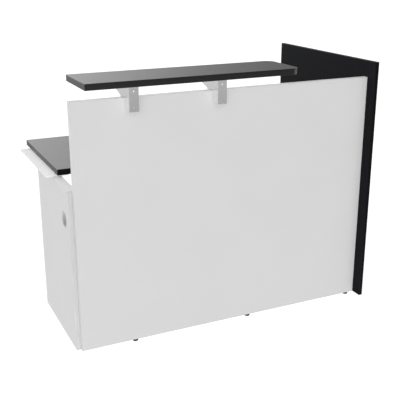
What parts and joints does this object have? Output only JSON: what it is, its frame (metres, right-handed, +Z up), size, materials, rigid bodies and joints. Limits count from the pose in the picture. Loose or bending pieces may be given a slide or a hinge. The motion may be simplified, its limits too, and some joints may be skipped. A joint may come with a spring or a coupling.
{
  "type": "reception desk",
  "caption": "Straight modular reception desk: white front panel and panel leg, black end panel, black worktop set behind the front, black counter shelf on steel brackets, levelling feet.",
  "frame": {"origin": "on the floor, under the middle of the whole desk", "axes": "+Z up, +X along the front to the visitor's right (towards the black end panel), +Y from the visitor to the staff side"},
  "size_m": [1.4364, 0.878, 1.133],
  "materials": {
    "white_laminate": "matt white melamine-faced board with a fine pearl texture",
    "black_laminate": "satin black melamine-faced board with a fine pearl texture",
    "grey_steel": "satin steel with a fine even grain",
    "white_steel": "white powder coat",
    "zinc_steel": "bright zinc plate",
    "foot_plastic": "black moulded plastic",
    "port_plastic": "light grey moulded plastic",
    "dowel_wood": "bare fluted beech"
  },
  "bodies": {
    "desk": {"front_panel": "white_laminate", "leg_panel": "white_laminate", "end_panel": "black_laminate", "worktop": "black_laminate", "counter_shelf": "black_laminate", "cable_port_ring": "port_plastic", "leg_glide_1": "port_plastic", "leg_glide_2": "port_plastic", "joining_plate": "white_steel", "shelf_bracket_1": "grey_steel", "shelf_bracket_2": "grey_steel", "worktop_angle_1": "grey_steel", "worktop_angle_2": "grey_steel", "worktop_screw_1": "zinc_steel", "worktop_screw_2": "zinc_steel", "worktop_screw_3": "zinc_steel", "worktop_screw_4": "zinc_steel", "plate_screw_1": "zinc_steel", "plate_screw_2": "zinc_steel", "bracket_screw_1": "zinc_steel", "bracket_screw_2": "zinc_steel", "shelf_screw_1": "zinc_steel", "shelf_screw_2": "zinc_steel", "shelf_screw_3": "zinc_steel", "shelf_screw_4": "zinc_steel", "angle_top_screw_1": "zinc_steel", "angle_top_screw_2": "zinc_steel", "angle_side_screw_1": "zinc_steel", "angle_side_screw_2": "zinc_steel", "end_cam_1": "zinc_steel", "end_cam_2": "zinc_steel", "end_cam_3": "zinc_steel", "leg_cam_1": "zinc_steel", "leg_cam_2": "zinc_steel", "leg_cam_3": "zinc_steel", "end_bolt_1": "zinc_steel", "end_bolt_2": "zinc_steel", "end_bolt_3": "zinc_steel", "leg_bolt_1": "zinc_steel", "leg_bolt_2": "zinc_steel", "leg_bolt_3": "zinc_steel", "foot_insert_front_left": "zinc_steel", "foot_insert_front_middle": "zinc_steel", "foot_insert_front_right": "zinc_steel", "foot_insert_end_front": "zinc_steel", "foot_insert_end_rear": "zinc_steel", "end_dowel_1": "dowel_wood", "end_dowel_2": "dowel_wood", "leg_dowel_1": "dowel_wood", "leg_dowel_2": "dowel_wood"},
    "foot_front_left": {"foot_pad_front_left": "foot_plastic", "foot_stud_front_left": "zinc_steel"},
    "foot_front_middle": {"foot_pad_front_middle": "foot_plastic", "foot_stud_front_middle": "zinc_steel"},
    "foot_front_right": {"foot_pad_front_right": "foot_plastic", "foot_stud_front_right": "zinc_steel"},
    "foot_end_front": {"foot_pad_end_front": "foot_plastic", "foot_stud_end_front": "zinc_steel"},
    "foot_end_rear": {"foot_pad_end_rear": "foot_plastic", "foot_stud_end_rear": "zinc_steel"}
  },
  "joints": [
    {"name": "foot_front_left_level", "type": "slide", "parent": "desk", "child": "foot_front_left", "axis": [0, 0, -1], "range_m": [0, 0.01]},
    {"name": "foot_front_middle_level", "type": "slide", "parent": "desk", "child": "foot_front_middle", "axis": [0, 0, -1], "range_m": [0, 0.01]},
    {"name": "foot_front_right_level", "type": "slide", "parent": "desk", "child": "foot_front_right", "axis": [0, 0, -1], "range_m": [0, 0.01]},
    {"name": "foot_end_front_level", "type": "slide", "parent": "desk", "child": "foot_end_front", "axis": [0, 0, -1], "range_m": [0, 0.01]},
    {"name": "foot_end_rear_level", "type": "slide", "parent": "desk", "child": "foot_end_rear", "axis": [0, 0, -1], "range_m": [0, 0.01]}
  ]
}
